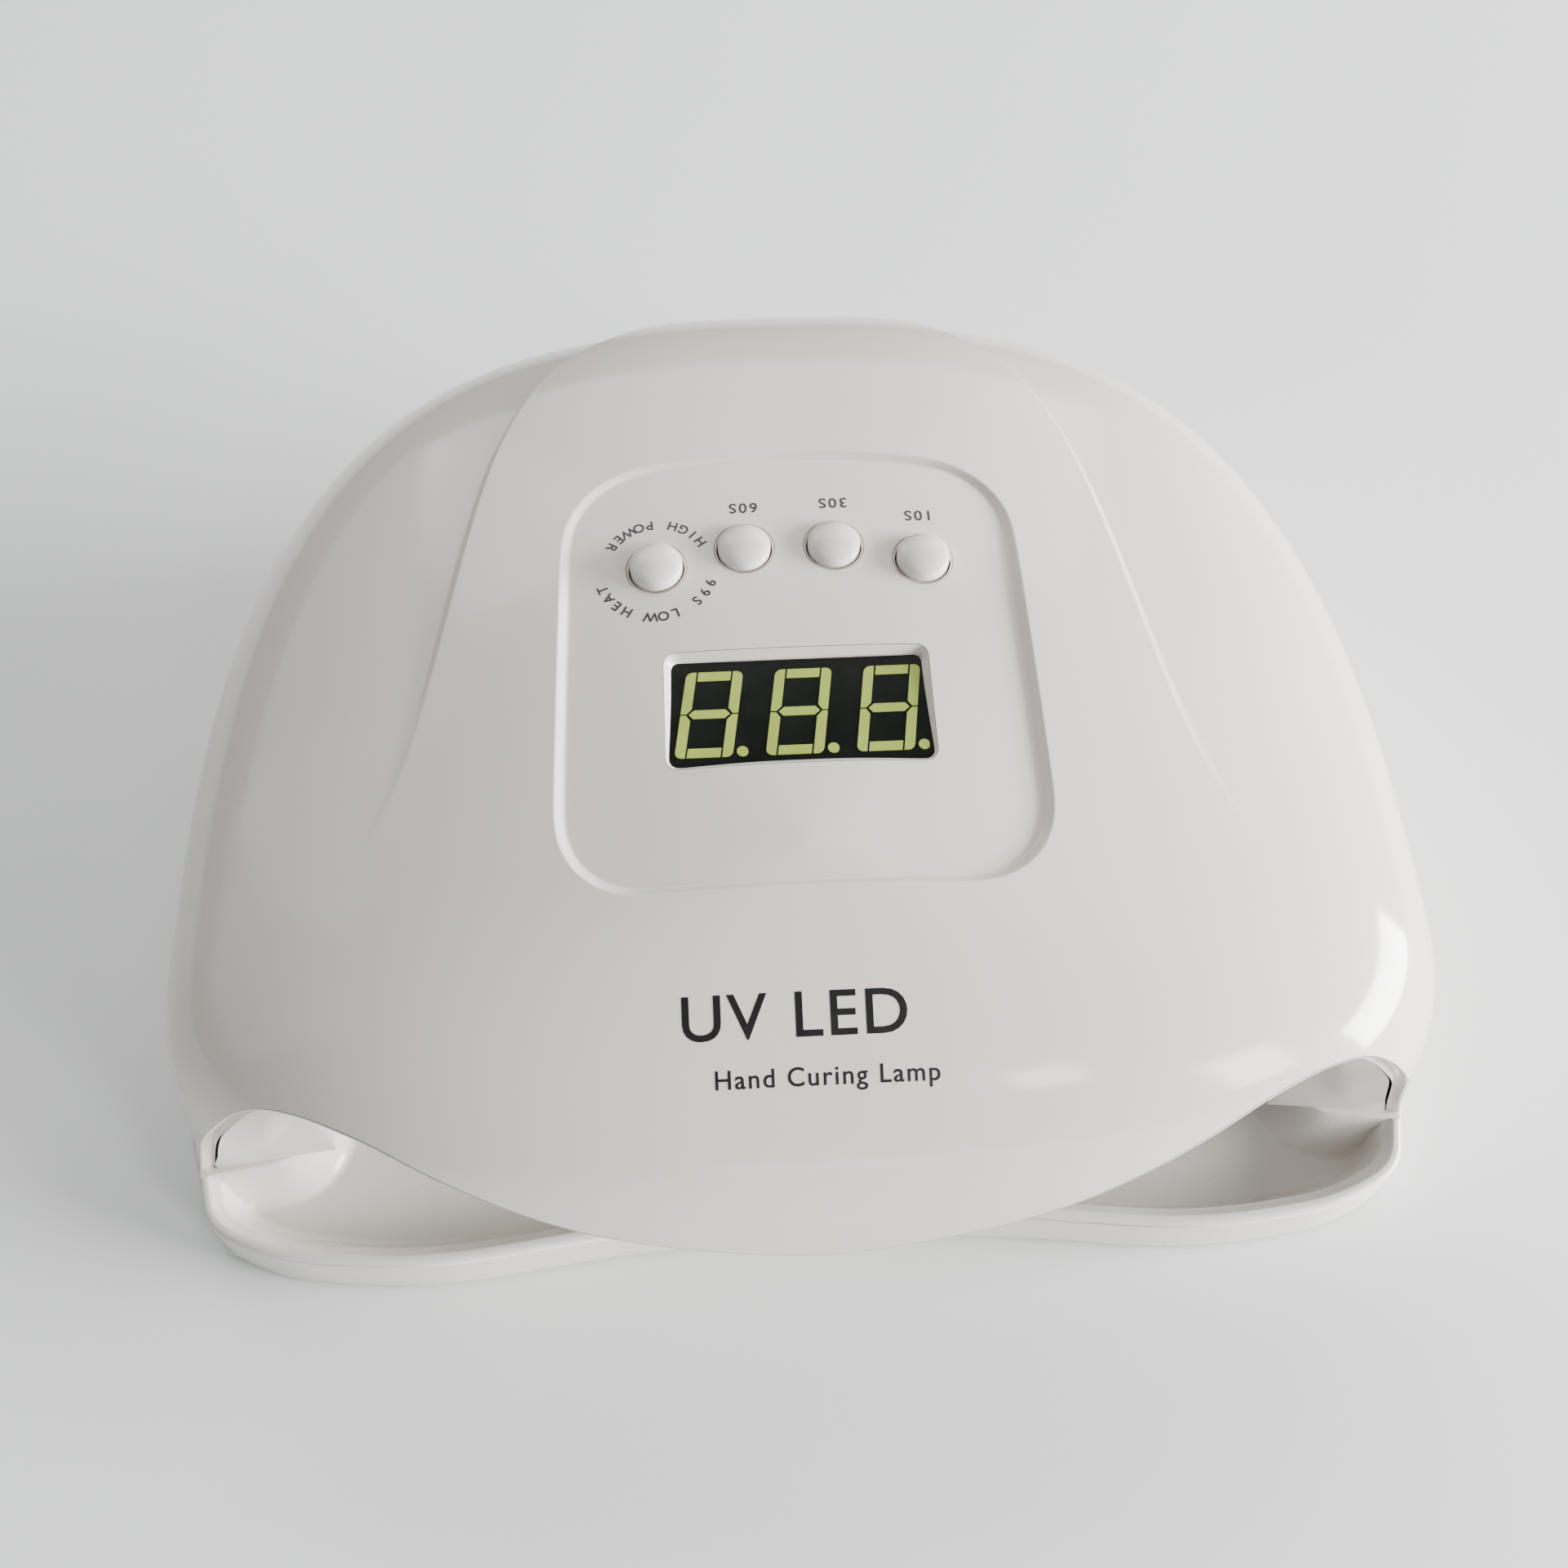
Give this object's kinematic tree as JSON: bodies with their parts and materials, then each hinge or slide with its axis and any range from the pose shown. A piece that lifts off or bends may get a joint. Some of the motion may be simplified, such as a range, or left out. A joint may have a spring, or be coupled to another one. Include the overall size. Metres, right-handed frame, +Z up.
{
  "type": "uv curing lamp",
  "caption": "Domed desktop UV LED curing lamp with a hand cavity, lift-off tray, push buttons and a digit display.",
  "frame": {"origin": "under the centre of the object, on the surface it stands on", "axes": "+X to the right, seen from the open front; +Y to the rear; +Z up"},
  "size_m": [0.2018, 0.176, 0.0862],
  "materials": {
    "gloss_white": "polished",
    "satin_white": "semi-gloss",
    "foot_rubber": "matte",
    "nickel": "nickel plated",
    "zinc_steel": "zinc plated",
    "board_green": "solder mask",
    "board_white": "solder mask",
    "black_plastic": "satin",
    "display_face": "dark face",
    "segment_yellow": "diffusing epoxy",
    "connector_nylon": "natural nylon",
    "led_lens": "clear dome",
    "sensor_filter": "infrared filter",
    "wire_red": "PVC",
    "wire_grey": "PVC"
  },
  "bodies": {
    "tray": {"tray_floor": "satin_white", "tray_rim": "satin_white", "tray_platform": "satin_white", "rubber_feet": "foot_rubber", "strike_plates": "zinc_steel"},
    "housing": {"upper_shell": "gloss_white", "liner_ceiling": "satin_white", "liner_left": "satin_white", "liner_right": "satin_white", "liner_rear": "satin_white", "liner_visor": "satin_white", "magnets": "nickel", "shell_screws": "zinc_steel", "control_board": "board_green", "board_screws": "zinc_steel", "board_components": "black_plastic", "board_connectors": "connector_nylon", "display_module": "display_face", "display_segments": "segment_yellow", "tact_switches": "black_plastic", "led_board_ceiling": "board_white", "led_board_left": "board_white", "led_board_right": "board_white", "led_board_rear": "board_white", "leds_ceiling": "led_lens", "leds_left": "led_lens", "leds_right": "led_lens", "leds_rear": "led_lens", "sensor_board": "board_green", "sensor_window": "sensor_filter", "dc_jack": "black_plastic", "dc_contact_pin": "nickel", "power_leads": "wire_red", "led_leads": "wire_grey"},
    "button_10s": {"button_cap_10s": "gloss_white", "plunger_10s": "satin_white"},
    "button_30s": {"button_cap_30s": "gloss_white", "plunger_30s": "satin_white"},
    "button_60s": {"button_cap_60s": "gloss_white", "plunger_60s": "satin_white"},
    "button_99s": {"button_cap_99s": "gloss_white", "plunger_99s": "satin_white"}
  },
  "joints": [
    {"name": "housing_lift", "type": "slide", "parent": "tray", "child": "housing", "axis": [0, 0, 1], "range_m": [0, 0.04]},
    {"name": "press_10s", "type": "slide", "parent": "housing", "child": "button_10s", "axis": [0, 0.1219, -0.9925], "range_m": [0, 0.0006], "stiffness_N_per_m": 1500, "springref_m": -0.0003},
    {"name": "press_30s", "type": "slide", "parent": "housing", "child": "button_30s", "axis": [0, 0.1219, -0.9925], "range_m": [0, 0.0006], "stiffness_N_per_m": 1500, "springref_m": -0.0003},
    {"name": "press_60s", "type": "slide", "parent": "housing", "child": "button_60s", "axis": [0, 0.1219, -0.9925], "range_m": [0, 0.0006], "stiffness_N_per_m": 1500, "springref_m": -0.0003},
    {"name": "press_99s", "type": "slide", "parent": "housing", "child": "button_99s", "axis": [0, 0.1219, -0.9925], "range_m": [0, 0.0006], "stiffness_N_per_m": 1500, "springref_m": -0.0003}
  ]
}
